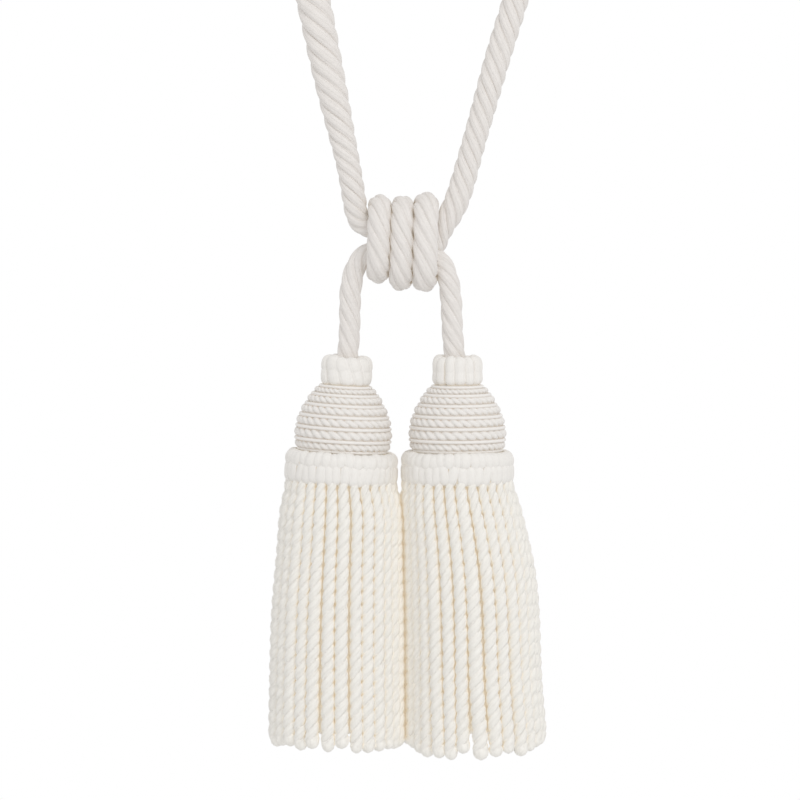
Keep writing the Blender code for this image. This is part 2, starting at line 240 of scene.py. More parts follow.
def lay_up(yarns, line, widths, lay, twist, plies, ply_share, sides, rings=RINGS_PER_LAY,
           fibre_turn=0.0, ridges=0, ridge=0.0):
    """Sweep plies round a line. Ply_share is a ply's half width as a share of the cord's."""
    along = run_length(line)
    stops = [0.0]
    while stops[-1] < along[-1]:
        width = np.interp(stops[-1], along, widths)
        stops.append(stops[-1] + lay * width / rings)
    stops = np.array(stops) * along[-1] / stops[-1]
    centres = np.stack([np.interp(stops, along, line[:, k]) for k in range(3)], axis=1)
    width = np.interp(stops, along, widths)
    phase = twist * 2 * math.pi * np.arange(len(stops)) / rings
    _, side, other = carried_frame(centres)
    for ply in range(plies):
        angle = (phase + 2 * math.pi * ply / plies)[:, None]
        outward = np.cos(angle) * side + np.sin(angle) * other
        ply_line = centres + outward * (0.5 - ply_share) * width[:, None]
        half = ply_share * width
        yarns.sweep(ply_line, outward, half, half, sides, fibre_turn, ridges, ridge)
    return centres


# %% [markdown]
# ## The hanging loop
#
# The loop carries the whole tieback. Its two legs leave the knot to the left and right and rise
# to a crown above the picture, where it goes over a hook. The cord swells along the left leg,
# where its lay is slacker. Its route is a short list of points, each with the cord's diameter
# there, and a smooth curve joins them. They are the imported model's, but for the last few: there
# the soft cord is squeezed down beside the third wrap, which stiff solids can't show. The
# measured length is the cord's real one, from one end in the knot to the other.

# %% The loop's route
KNOT = Vector((-4 * MM, 0, -210.5 * MM))

LOOP_ROUTE = [
    # x, y, z from the middle of the knot, and the cord's diameter
    (-0.2, 0.0, 6.2, 9.8),
    (-6.0, 0.0, 6.7, 9.8),
    (-12.0, 0.0, 7.3, 9.8),
    (-17.2, 0.0, 8.0, 10.4),
    (-21.0, 0.0, 10.8, 11.0),
    (-22.8, 0.0, 15.6, 11.7),
    (-24.2, 0.0, 24.0, 12.1),
    (-26.3, 0.0, 36.5, 12.2),
    (-29.5, 0.0, 51.5, 13.2),
    (-33.9, 0.0, 71.5, 15.2),
    (-39.2, 0.0, 96.5, 16.6),
    (-44.4, 0.0, 121.5, 17.4),
    (-49.6, 0.0, 148.0, 17.2),
    (-44.5, 0.0, 175.5, 16.4),
    (-24.5, 0.0, 196.5, 15.6),
    (4.0, 0.0, 203.0, 15.0),
    (36.0, 0.0, 196.5, 14.4),
    (57.5, 0.0, 175.5, 13.8),
    (62.0, 0.0, 148.0, 13.4),
    (56.6, 0.0, 121.5, 13.2),
    (48.9, 0.0, 96.5, 13.2),
    (41.8, 0.0, 71.5, 12.6),
    (34.8, 0.0, 46.5, 12.2),
    (31.5, 0.0, 34.5, 12.6),
    (28.5, 0.0, 24.5, 12.8),
    (25.2, 0.2, 16.4, 12.6),
    (21.9, 0.5, 10.8, 12.2),
    (18.9, 1.2, 5.2, 11.8),
    (17.0, 2.0, 0.0, 11.2),
    (14.8, 2.6, -3.4, 10.6),
    (10.5, 2.4, -3.0, 10.0),
    (5.0, 1.2, 2.0, 9.8),
    (0.2, 0.0, 6.1, 9.8),
]
POINTS_PER_MM = 4


def dense_route(route):
    rows = np.array(route, float)
    marks = run_length(rows[:, :3])
    return smooth_table(rows, marks)(np.linspace(0, marks[-1], int(marks[-1] * POINTS_PER_MM)))


loop_rows = dense_route(LOOP_ROUTE)

# %% The loop's five plies
PLIES = 5
PLY_SHARE = 0.23
PLY_SIDES = 28
PLY_RIDGES = 7
RIDGE = 0.045
PLY_FIBRE_TURN = 0.02
LOOP_PLY_SHARE = 0.2
LOOP_LAY = 2.95


def lay_cord(name, rows, lay, ply_share=PLY_SHARE):
    """A five-ply cord along rows of points and diameters, and the line in its middle."""
    yarns = Yarns()
    line = lay_up(
        yarns,
        rows[:, :3],
        rows[:, 3],
        lay,
        S_TWIST,
        PLIES,
        ply_share,
        PLY_SIDES,
        fibre_turn=PLY_FIBRE_TURN,
        ridges=PLY_RIDGES,
        ridge=RIDGE,
    )
    return yarns.make(name, KNOT), line * MM + np.array(KNOT)


loop_cord, loop_line = lay_cord("loop_cord", loop_rows, LOOP_LAY, LOOP_PLY_SHARE)
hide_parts("hanging_loop")
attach(loop_cord, "root")

# %% [markdown]
# ## The knot's three wraps
#
# Three turns of the same cord hold the loop's foot and the tassels' cord together. Wound flat,
# they stand upright in front, side by side, and step across to the next turn at the back. Each
# turn is an upright oval with square shoulders, because two cords lie one above the other
# inside it. A formula gives the oval, and a table gives each turn's place and size.

# %% The wraps' route
WRAP_CORE = 5.3
WRAP_ROUND = 11.5
WRAP_CORNER = 2.2
WRAP_LEAN = 0.8
WRAP_BACK_DIAMETER = 10.3
WRAP_START = 50.0
WRAP_LEAVE = 275.0
WRAP_JOIN = 420.0
WRAP_END = 300.0
WRAP_STEP = 0.8
WRAP_LAY = 3.66
WRAP_PLUMP = 1.1
WRAP_TURNS = [
    # x, z, half height and cord diameter at the front, left to right
    (-11.9, 2.1, 21.9, 10.9),
    (-0.6, 0.0, 23.5, 11.0),
    (11.2, 0.6, 24.6, 11.8),
]


def coil_rows():
    """Points and diameters of the coil: 0 degrees is its back, 90 its foot and 180 its front."""
    turns = np.array(WRAP_TURNS, float)
    last = len(turns) - 1
    rows = []
    for angle in np.arange(WRAP_START, 360 * last + WRAP_END, WRAP_STEP):
        turn = min(max(int((angle - WRAP_JOIN + 360) // 360), 0), last)
        crossed = ease((angle - 360 * turn - WRAP_LEAVE) / (WRAP_JOIN - WRAP_LEAVE))
        x, z, half_height, diameter = turns[turn] + crossed * (turns[min(turn + 1, last)] - turns[turn])
        side, up = math.cos(math.radians(angle)), -math.sin(math.radians(angle))
        width = diameter + (WRAP_BACK_DIAMETER - diameter) * max(side, 0.0)
        corner = math.tanh(WRAP_CORNER * up) / math.tanh(WRAP_CORNER)
        height = WRAP_ROUND * up + (half_height - width / 2 - WRAP_ROUND) * corner
        lean = WRAP_LEAN * (0.5 + 0.5 * up)
        rows.append((x + lean, (WRAP_CORE + width / 2) * side, z + height, width * WRAP_PLUMP))
    return np.array(rows)


wrap_rows = coil_rows()
wrap_cord, _ = lay_cord("wrap_cord", wrap_rows, WRAP_LAY)
print("wraps' length in m:", round(run_length(wrap_rows[:, :3])[-1] * MM, 3))
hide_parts("knot_wraps")
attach(wrap_cord, "root")

# %% [markdown]
# ## The tassels' cord
#
# One cord runs from the left tassel up into the knot, through its three turns and down to the
# right tassel. It is held at both ends and in the knot, and its lay is longer than the loop's,
# so that its plies look slack and steep.

# %% The tassels' cord
TAIL_LAY = 4.4
TASSEL_CORD_ROUTE = [
    # x, y, z from the middle of the knot, and the cord's diameter
    (-28.0, 0.0, -69.8, 10.4),
    (-27.4, 0.0, -60.0, 10.6),
    (-26.6, 0.3, -50.0, 10.8),
    (-26.1, 0.8, -40.0, 10.8),
    (-26.0, 1.2, -30.0, 11.0),
    (-25.4, 1.5, -21.5, 11.0),
    (-23.8, 1.5, -14.0, 10.6),
    (-20.9, 1.2, -8.2, 10.2),
    (-16.8, 0.6, -4.6, 10.0),
    (-12.0, 0.0, -3.4, 10.0),
    (-6.0, 0.0, -4.0, 10.0),
    (0.0, 0.0, -4.6, 10.0),
    (6.0, 0.0, -4.9, 10.0),
    (12.0, -0.3, -5.0, 10.0),
    (16.2, -1.0, -6.6, 10.2),
    (19.7, -1.8, -9.9, 10.4),
    (22.1, -2.0, -14.8, 10.6),
    (23.7, -1.6, -21.2, 10.8),
    (24.6, -1.0, -29.4, 11.0),
    (25.0, -0.5, -39.0, 10.8),
    (25.6, 0.0, -49.0, 10.8),
    (26.8, 0.0, -60.0, 10.6),
    (27.5, 0.0, -69.8, 10.4),
]


tail_rows = dense_route(TASSEL_CORD_ROUTE)
tail_cord, _ = lay_cord("tail_cord", tail_rows, TAIL_LAY)
print("tassel cord's length in m:", round(run_length(tail_rows[:, :3])[-1] * MM, 3))
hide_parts("tassel_cord")
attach(tail_cord, "root")

# %% [markdown]
# ## The tassels' places
#
# Both tassels hang from the same height. The left one leans, so its head and heading turn with
# it, while its fringe still falls straight. Each tassel's fringe has its own outline, wider to
# the right on the right one, as a table of how far down, where its middle is, how wide it is and
# how wide one strand is.

# %% Tables of the tassels
HEAD_TOP_DROP = 70.5
LEFT_SKIRT = [
    # drop below the knot, middle x, radius and strand width
    (120.3, -30.9, 27.3, 4.5),
    (126.0, -30.8, 29.3, 4.9),
    (149.5, -31.5, 31.6, 5.4),
    (180.0, -32.5, 33.3, 5.7),
    (210.5, -33.0, 34.0, 5.9),
    (241.5, -33.2, 34.3, 6.1),
    (260.0, -33.2, 34.2, 6.1),
]
RIGHT_SKIRT = [
    (120.3, 27.7, 27.3, 4.5),
    (126.0, 28.7, 28.9, 4.8),
    (140.0, 31.2, 30.5, 5.3),
    (160.5, 33.8, 32.6, 5.6),
    (192.0, 35.6, 33.8, 5.8),
    (223.0, 36.4, 34.3, 6.0),
    (249.0, 37.5, 35.3, 6.2),
    (262.0, 37.6, 35.3, 6.2),
]
Tassel = namedtuple("Tassel", "x lean end_spread outline")
TASSELS = {
    # the lean is in degrees to the right, the spread is that of the hidden strands' ends
    "left": Tassel(-28.1, 3.1, 1.0, LEFT_SKIRT),
    "right": Tassel(27.7, 0.0, 4.4, RIGHT_SKIRT),
}


def hang(piece, side):
    """Put a piece, made round the top of its head, in its tassel's place and lean."""
    tassel = TASSELS[side]
    piece.location = KNOT + Vector((tassel.x, 0, -HEAD_TOP_DROP)) * MM
    piece.rotation_euler = (0, math.radians(tassel.lean), 0)


print("tassels' middles in mm:", {side: tassel.x for side, tassel in TASSELS.items()})

# %% [markdown]
# ## The heads
#
# A tassel's head is a turned bell with its winding on show: a row of smooth gimp, a row of fine
# two-ply cord, and gimp again. It could be one bumpy turned shape, but its small dark notches
# between the plies would be lost. So both are wound on as real yarns, level round the front and
# stepping down to the next row at the back, over a plain bell that shows only in the notches. The
# bell is coloured darker than the yarns, so that it paints the shade in those notches.

# %% Wind the heads
HEAD_ROWS = [
    # depth below the collar, radius
    (0.0, 12.0),
    (1.5, 13.4),
    (4.5, 16.3),
    (8.75, 19.0),
    (14.25, 21.9),
    (20.25, 23.7),
    (25.25, 24.3),
    (30.75, 23.5),
    (34.0, 22.0),
]
GIMP_DEPTHS = [1.25, 5.25, 10.25, 15.75, 21.5, 27.75, 33.0]
GIMP_HALF = 0.85
GIMP_PROUD = 0.2
GIMP_ROOM = 1.2 * GIMP_HALF
GIMP_SIDES = 12
FINE_CORD_PROUD = 0.4
FINE_CORD_LAY = 1.8
FINE_CORD_RINGS = 12
FINE_PLIES = 2
FINE_PLY_SHARE = 0.32
FINE_PLY_SIDES = 10
BELL_SUNK = 1.3
BELL_RINGS = 24
BELL_SIDES = 48
STEP_SHARE = 0.12
WINDING_RINGS = 160

head_table = np.array(HEAD_ROWS)
bell_radius = smooth_table(head_table[:, 1:], head_table[:, 0])


def wound_rows(depths):
    """Points of a winding: level turns, each stepping down to the next behind the head."""
    turns = np.linspace(0, len(depths) - 1e-6, len(depths) * WINDING_RINGS)
    row = turns.astype(int)
    after = np.minimum(row + 1, len(depths) - 1)
    stepped = ease((turns - row - 1 + STEP_SHARE) / STEP_SHARE)
    depth = np.array(depths)[row] + stepped * (np.array(depths)[after] - np.array(depths)[row])
    return depth, level_outward(2 * math.pi * turns + math.pi / 2)


def wind_gimp(yarns):
    depth, outward = wound_rows(GIMP_DEPTHS)
    radius = bell_radius(depth)[:, 0] + GIMP_PROUD - GIMP_HALF
    line = outward * radius[:, None] - UP * depth[:, None]
    yarns.sweep(line, outward, GIMP_HALF, GIMP_HALF, GIMP_SIDES)


def wind_fine_cord(yarns):
    gimps = np.array(GIMP_DEPTHS)
    between = (gimps[1:] + gimps[:-1]) / 2
    depth, outward = wound_rows(between)
    width = np.interp(depth, between, np.diff(gimps)) - GIMP_ROOM
    radius = bell_radius(depth)[:, 0] + FINE_CORD_PROUD - width / 2
    line = outward * radius[:, None] - UP * depth[:, None]
    lay_up(
        yarns,
        line,
        width,
        FINE_CORD_LAY,
        Z_TWIST,
        FINE_PLIES,
        FINE_PLY_SHARE,
        FINE_PLY_SIDES,
        FINE_CORD_RINGS,
    )


def turn_shape(yarns, radii, heights, sides):
    """A plain round shape, turned about the upright line through the middle."""
    outward = np.tile([1.0, 0.0, 0.0], (len(heights), 1))
    yarns.sweep(heights[:, None] * UP, outward, radii, radii, sides)


def add_bell(yarns):
    depths = np.linspace(0, HEAD_ROWS[-1][0], BELL_RINGS)
    turn_shape(yarns, bell_radius(depths)[:, 0] - BELL_SUNK, -depths, BELL_SIDES)


def make_head(side):
    yarns = Yarns()
    wind_gimp(yarns)
    wind_fine_cord(yarns)
    head = yarns.make(f"{side}_wound_head")
    bell = Yarns()
    add_bell(bell)
    mould = bell.make(f"{side}_mould")
    for piece in (head, mould):
        hang(piece, side)
        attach(piece, "root")
    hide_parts(f"{side}_head")
    return head, mould


heads = {side: make_head(side) for side in TASSELS}

# %% [markdown]
# ## The collars
#
# The collar is a short piece of the fringe's own heading, gathered round the cord where it
# enters the head. Its loops stand side by side as fat upright ribs with dark slots between
# them. Each rib is a thick soft yarn that comes out of the hole at the top, bends over the rim,
# runs down the side and tucks in. The left collar is drawn in by two stitches, the right one
# hardly at all.

# %% Gather the collars
COLLAR_RIBS = {"left": 11, "right": 13}
COLLAR_LEAN = {"left": 0.4, "right": 0.0}
RIB_LINE = [
    # radius and height of a rib's middle, from the hole down to the head
    (7.6, 10.6),
    (8.3, 11.9),
    (9.6, 12.2),
    (10.4, 10.9),
    (10.6, 8.0),
    (10.6, 4.4),
    (10.4, 1.9),
    (9.0, 1.2),
]
RIB_HALF_OUT = {"left": 2.3, "right": 2.1}
RIB_HALF_ACROSS = {"left": 3.8, "right": 2.85}
RIB_RINGS = 40
RIB_SIDES = 20
# how much one rib may differ from the next
RIB_HEIGHTS = (-0.04, 0.03)
RIB_PLACES = (-0.12, 0.12)
RIB_DRIFTS = (-0.12, 0.12)
RIB_SIZES_OUT = (0.93, 1.05)
RIB_SIZES_ACROSS = (0.92, 1.05)
# stitches draw each rib in, at shares of its length
STITCH_PLACES = {"left": (0.53, 0.84), "right": (0.6,)}
STITCH_DEPTH = {"left": 0.13, "right": 0.05}
STITCH_WIDTH = 0.045
STITCH_NARROWS = 0.3
COLLAR_SEED = 5


def make_collar(side):
    draw = random.Random(COLLAR_SEED + len(side))
    table = np.array(RIB_LINE)
    marks = run_length(table)
    read = smooth_table(table, marks)
    yarns = Yarns()
    for rib in range(COLLAR_RIBS[side]):
        at = np.linspace(0, 1, RIB_RINGS)
        radius, height = read(at * marks[-1]).T
        height = height * (1 + draw.uniform(*RIB_HEIGHTS))
        angle = 2 * math.pi * (rib + draw.uniform(*RIB_PLACES)) / COLLAR_RIBS[side]
        drift = (COLLAR_LEAN[side] + draw.uniform(*RIB_DRIFTS)) * (at - 0.5)
        outward = level_outward(angle + drift)
        line = outward * radius[:, None] + UP * height[:, None]
        facing = unit(np.cross(np.cross(outward, UP), np.gradient(line, axis=0)))
        pinch = sum(np.exp(-(((at - place) / STITCH_WIDTH) ** 2)) for place in STITCH_PLACES[side])
        swell = 1 - STITCH_DEPTH[side] * pinch
        narrowed = 1 - STITCH_NARROWS * STITCH_DEPTH[side] * pinch
        yarns.sweep(
            line,
            facing,
            RIB_HALF_OUT[side] * swell * draw.uniform(*RIB_SIZES_OUT),
            RIB_HALF_ACROSS[side] * narrowed * draw.uniform(*RIB_SIZES_ACROSS),
            RIB_SIDES,
        )
    collar = yarns.make(f"{side}_gathered_collar")
    hang(collar, side)
    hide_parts(f"{side}_collar")
    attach(collar, "root")
    return collar


collars = {side: make_collar(side) for side in TASSELS}

# %% [markdown]
# ## The fringe's heading
#
# The bullion fringe hangs from a woven heading, wrapped once round the foot of the head. Its
# face is two rows of short upright stitches of the same soft yarn. They are laid one by one
# in a loop, each row half a stitch along from the one above, with small differences of lean and
# size, because a heading that is quite even looks like a casting.

# %% Work the headings
BAND_TOP = -34.3
STITCHES = 40
STITCH_SIDES = 12
STITCH_RINGS = 12
STITCH_ROWS = [
    # radius and height, below the band's top, of the middle of a stitch at five places
    [(23.2, 0.1), (25.2, -0.1), (27.0, -2.0), (27.2, -4.8), (26.6, -6.8)],
    [(26.5, -5.2), (27.3, -7.2), (27.4, -9.8), (27.2, -12.8), (26.0, -14.8)],
]
STITCH_HALF_OUT = 1.0
STITCH_HALF_ACROSS = 2.8
# how much one stitch may differ from the next
STITCH_ASIDE = (-0.14, 0.14)
STITCH_LEAN = 0.05
STITCH_PROUD = (-0.22, 0.2)
STITCH_HIGHER = (-0.4, 0.4)
STITCH_SIZES_OUT = (0.9, 1.1)
STITCH_SIZES_ACROSS = (0.92, 1.06)
# a stitch narrows by this share at its ends, and stays full longer the squarer it is
STITCH_TAPER = 0.35
STITCH_SQUARENESS = 4
BAND_CORE = [
    # radius and height below the band's top
    (24.6, -0.8),
    (26.4, -3.0),
    (26.4, -13.0),
    (24.6, -15.2),
]
BAND_SIDES = 72
HEADING_SEED = 21


def work_stitches(yarns, side):
    draw = random.Random(HEADING_SEED + len(side))
    for row, places in enumerate(STITCH_ROWS):
        table = np.array(places)
        marks = run_length(table)
        read = smooth_table(table, marks)
        for stitch in range(STITCHES):
            at = np.linspace(0, 1, STITCH_RINGS)
            radius, height = read(at * marks[-1]).T
            angle = 2 * math.pi * (stitch + 0.5 * row + draw.uniform(*STITCH_ASIDE)) / STITCHES
            lean = draw.gauss(0.0, STITCH_LEAN) * (at - 0.5)
            radius = radius + draw.uniform(*STITCH_PROUD)
            height = height + draw.uniform(*STITCH_HIGHER) + BAND_TOP
            outward = level_outward(angle + lean)
            line = outward * radius[:, None] + UP * height[:, None]
            facing = unit(np.cross(np.cross(outward, UP), np.gradient(line, axis=0)))
            plump = 1 - STITCH_TAPER * np.abs(2 * at - 1) ** STITCH_SQUARENESS
            yarns.sweep(
                line,
                facing,
                STITCH_HALF_OUT * plump * draw.uniform(*STITCH_SIZES_OUT),
                STITCH_HALF_ACROSS * plump * draw.uniform(*STITCH_SIZES_ACROSS),
                STITCH_SIDES,
            )


def make_heading(side):
    yarns = Yarns()
    work_stitches(yarns, side)
    core = np.array(BAND_CORE)
    turn_shape(yarns, core[:, 0], core[:, 1] + BAND_TOP, BAND_SIDES)
    heading = yarns.make(f"{side}_fringe_heading")
    hang(heading, side)
    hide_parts(f"{side}_fringe")
    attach(heading, "root")
    return heading


headings = {side: make_heading(side) for side in TASSELS}

# %% [markdown]
# ## The bullion fringe
#
# A bullion fringe is a curtain of soft strands. Twenty-nine of them show round each skirt, and
# forty-three lie inside, with fewer sides to each because little of them is seen. They start
# evenly spread, wander a little as they fall, and press against their neighbours. A cloth
# simulation could do that, but it would take long and it wouldn't keep the skirt's outline.
# Instead, a few rounds of pushing strands apart, pulling them inside the outline and smoothing
# each one settle them, with a fixed seed.

# %% Spread the strands
SKIRT_TOP = 118.0
SKIRT_DROP = 243.8
SKIRT_END_RANGE = 3.6
SKIRT_SWELL = 0.75
SWELL_DROP = 18.0
STRAND_LEVELS = 22
StrandRing = namedtuple("StrandRing", "strands inset sides per_lay")
STRAND_RINGS = [
    # the inset from the outline is in strand widths, and per_lay is in rings of the sweep
    StrandRing(29, 0.5, 10, 10),
    StrandRing(25, 1.42, 6, 7),
    StrandRing(18, 2.35, 5, 6),
]
WANDER = 0.28
WANDER_BENDS = 5
WANDER_GROWTH = 1.6
STRAND_SIZES = (0.9, 1.1)
RECESS = 0.12
FRINGE_SEED = 8


def skirt_levels(side):
    """Drops below the knot, with the skirt's middle, its radius and a strand's width at each."""
    rows = np.array(TASSELS[side].outline)
    swell = SKIRT_SWELL * ease((rows[:, 0] - SKIRT_TOP) / SWELL_DROP)
    rows[:, 1] += swell if side == "left" else -swell
    rows[:, 2] += swell
    lowest = SKIRT_DROP + SKIRT_END_RANGE + TASSELS[side].end_spread
    drops = np.linspace(SKIRT_TOP, lowest, STRAND_LEVELS)
    return drops, *smooth_table(rows[:, 1:], rows[:, 0])(drops).T


def spread_strands(side, drops, radius, width):
    """Each strand's place at each level, its size, its ring and how far in from the rim it lies."""
    draw = random.Random(FRINGE_SEED + len(side))
    levels = np.linspace(drops[0], drops[-1], WANDER_BENDS)
    places, sizes, rings, recesses = [], [], [], []
    for number, ring in enumerate(STRAND_RINGS):
        reach = radius - ring.inset * width
        for k in range(ring.strands):
            angle = 2 * math.pi * (k + 0.5 * number) / ring.strands
            bends = [draw.uniform(-WANDER, WANDER) for _ in range(WANDER_BENDS)]
            wander = np.interp(drops, levels, bends) * width / radius
            turned = angle + wander * (drops - drops[0]) / (drops[-1] - drops[0]) * WANDER_GROWTH
            places.append(np.stack([reach * np.cos(turned), reach * np.sin(turned)], axis=1))
            sizes.append(draw.uniform(*STRAND_SIZES))
            rings.append(number)
            recesses.append(draw.uniform(0, RECESS))
    return np.array(places), np.array(sizes), np.array(rings), np.array(recesses)


# %% Settle the strands
RIM_INSET = 0.54
SETTLING = 60
PRESSED = 1.05
PUSH_SHARE = 0.35
STIFFNESS = 0.3
NEARLY_NOTHING = 1e-6


def settle(places, sizes, rim, width, outer):
    """Push strands apart, smooth each one, and hold the outer ones on the rim."""
    top = places[:, 0].copy()
    needed = PRESSED * (sizes[:, None] + sizes[None, :])[:, :, None] / 2 * width
    for _ in range(SETTLING):
        apart = places[:, None] - places[None, :]
        distance = np.linalg.norm(apart, axis=-1) + NEARLY_NOTHING
        push = np.clip(needed - distance, 0, None)
        np.einsum("iik->ik", push)[:] = 0
        places += PUSH_SHARE * np.sum(apart / distance[..., None] * push[..., None], axis=1)
        places[:, 1:-1] += STIFFNESS * (places[:, 2:] + places[:, :-2] - 2 * places[:, 1:-1])
        to_rim = rim / np.maximum(np.linalg.norm(places, axis=-1), NEARLY_NOTHING)
        places *= np.where(outer[:, None], to_rim, np.minimum(1, to_rim))[..., None]
        places[:, 0] = top


def settled_strands(side):
    """The levels, and each strand's places, widths and ring."""
    drops, middle, radius, width = skirt_levels(side)
    places, sizes, rings, recesses = spread_strands(side, drops, radius, width)
    rim = radius - (RIM_INSET + recesses[:, None]) * width
    settle(places, sizes, rim, width, rings == 0)
    places[..., 0] += middle
    return drops, places, sizes[:, None] * width, rings


settled = {side: settled_strands(side) for side in TASSELS}
print("strands in each skirt:", len(settled["left"][1]))

# %% [markdown]
# ## Folded strands
#
# A bullion strand is one soft yarn, overtwisted and folded, so that its two halves twist round
# each other and leave a closed loop at the foot. So each is swept as one long yarn, down one side
# of the twist, round the foot and up the other side, with a round end where the fold is pressed
# together. The front strands end along an uneven hem, given as a short table. Nearly all turn in
# step, which is what sets their lobes and the gaps between them in rows.

# %% Twist each strand and close its foot
STRAND_LAY = 2.4
STRAND_PLY_SHARE = 0.365
STRAND_PLUMP = 1.22
STRAND_UNEVEN = 0.012
STRAND_OUT_OF_STEP = 0.3
STRAND_STOPS = 60
STRAND_FIBRE_TURN = -0.12
FOOT_RINGS = 5
FOOT_HALF = 0.45
FOOT_DROP = 0.52
FOOT_CAP = 0.2
FOOT_BEND = 1.2


def folded_yarn(line, widths, lay, start, rings):
    """One folded yarn: down one side of the twist, round the foot and up the other."""
    along = run_length(line)
    stops = np.linspace(0, along[-1], int(along[-1] / lay * rings))
    centres = np.stack([np.interp(stops, along, line[:, k]) for k in range(3)], axis=1)
    width = np.interp(stops, along, widths)
    phase = start + 2 * math.pi * stops / lay
    _, side, other = carried_frame(centres)
    half = STRAND_PLY_SHARE * width
    down = np.cos(phase)[:, None] * side + np.sin(phase)[:, None] * other
    reach = ((0.5 - STRAND_PLY_SHARE) * width)[:, None]
    foot = np.linspace(0, math.pi, FOOT_RINGS + 2)[1:-1, None]
    fall = unit(centres[-1] - centres[-2])
    bend = reach[-1] * (np.cos(foot) * down[-1] + FOOT_BEND * np.sin(foot) * fall)
    bend_out = np.cos(foot) * down[-1] + np.sin(foot) * fall
    yarn = np.concatenate([centres + reach * down, centres[-1] + bend, (centres - reach * down)[::-1]])
    outward = np.concatenate([down, bend_out, -down[::-1]])
    halves = np.concatenate([half, np.full(FOOT_RINGS, half[-1]), half[::-1]])
    return yarn, outward, halves


def add_foot(yarns, line, width, sides):
    """A round end, where the fold is pressed together."""
    fall = unit(line[-1] - line[-2])
    turned = np.linspace(FOOT_CAP, math.pi - FOOT_CAP, FOOT_RINGS)
    centres = line[-1] - np.cos(turned)[:, None] * fall * FOOT_DROP * width
    halves = np.sin(turned) * FOOT_HALF * width
    outward = np.tile([1.0, 0.0, 0.0], (FOOT_RINGS, 1))
    yarns.sweep(centres, outward, halves, halves, sides)


# %% Hang the skirts
HEMS = {
    # x of a front strand's foot, from the middle of the knot, and its drop below the knot
    "left": [
        (-67.0, 241.9),
        (-62.5, 247.4),
        (-56.5, 245.6),
        (-52.0, 248.4),
        (-44.5, 246.9),
        (-38.5, 248.9),
        (-28.0, 246.1),
        (-23.0, 249.4),
        (-2.5, 248.4),
        (2.0, 246.4),
    ],
    "right": [
        (1.0, 246.9),
        (5.0, 247.4),
        (11.5, 252.2),
        (17.0, 251.4),
        (24.0, 252.9),
        (30.5, 249.2),
        (36.0, 251.4),
        (42.5, 252.4),
        (51.5, 249.1),
        (60.0, 251.4),
        (67.5, 247.4),
        (71.0, 244.9),
    ],
}
INNER_SHORTER = 4.0
END_SEED = 24


def strand_end(side, ring, foot, draw):
    """How far a strand falls: to the hem in front, a drawn length behind, and less inside."""
    end = SKIRT_DROP + draw.uniform(0, SKIRT_END_RANGE) + draw.uniform(0, TASSELS[side].end_spread)
    if ring > 0:
        return min(end, SKIRT_DROP) - INNER_SHORTER
    if foot[1] < 0:
        hem_x, hem_drop = np.array(HEMS[side]).T
        return float(np.interp(foot[0], hem_x, hem_drop))
    return end


def add_strand(yarns, side, drops, place, width, ring, draw):
    tassel = TASSELS[side]
    sides, per_lay = STRAND_RINGS[ring][2:]
    shown = np.linspace(drops[0], strand_end(side, ring, place[-1], draw), STRAND_STOPS)
    x = np.interp(shown, drops, place[:, 0])
    y = np.interp(shown, drops, place[:, 1])
    line = np.stack([x, y, -shown], axis=1)
    plump_width = np.interp(shown, drops, width) * STRAND_PLUMP
    lay = STRAND_LAY * tassel.outline[2][3] * draw.uniform(1 - STRAND_UNEVEN, 1 + STRAND_UNEVEN)
    around = math.atan2(y[0], x[0] - tassel.x)
    start = draw.uniform(-STRAND_OUT_OF_STEP, STRAND_OUT_OF_STEP) - around
    yarn, outward, halves = folded_yarn(line, plump_width, lay, start, per_lay)
    yarns.sweep(yarn, outward, halves, halves, sides, STRAND_FIBRE_TURN)
    add_foot(yarns, line, plump_width[-1], sides)


def make_skirt(side):
    drops, places, widths, rings = settled[side]
    draw = random.Random(END_SEED + len(side))
    yarns = Yarns()
    for place, width, ring in zip(places, widths, rings):
        add_strand(yarns, side, drops, place, width, ring, draw)
    skirt = yarns.make(f"{side}_bullion_fringe", KNOT)
    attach(skirt, "root")
    return skirt


skirts = {side: make_skirt(side) for side in TASSELS}

# %% [markdown]
# ## Shader maths in Python
#
# The finishes need a little arithmetic on the yarns' maps. Adding Math nodes by hand is slow to
# write and hard to read, so a small class wraps a socket, and Python's own signs then add the
# nodes. Everything else goes through one method that takes a node's type, its settings and what
# its sockets hold.

# %% Sockets that add up
class Socket:
    """A number that changes over the surface."""

    def __init__(self, recipe, output):
        self.recipe = recipe
        self.output = output

    def maths(self, operation, *values):
        return self.recipe.node("ShaderNodeMath", {"operation": operation}, *values)

    def __add__(self, other):
        return self.maths("ADD", self, other)

    def __radd__(self, other):
        return self.maths("ADD", other, self)

    def __sub__(self, other):
        return self.maths("SUBTRACT", self, other)

    def __rsub__(self, other):
        return self.maths("SUBTRACT", other, self)

    def __mul__(self, other):
        return self.maths("MULTIPLY", self, other)

    def __rmul__(self, other):
        return self.maths("MULTIPLY", other, self)

    def sine(self):
        return self.maths("SINE", self)

    def cosine(self):
        return self.maths("COSINE", self)

    def size(self):
        return self.maths("ABSOLUTE", self)

    def between(self, low, high):
        """Nought below low, one above high, and smooth between them."""
        settings = {"interpolation_type": "SMOOTHSTEP"}
        return self.recipe.node("ShaderNodeMapRange", settings, self, low, high)


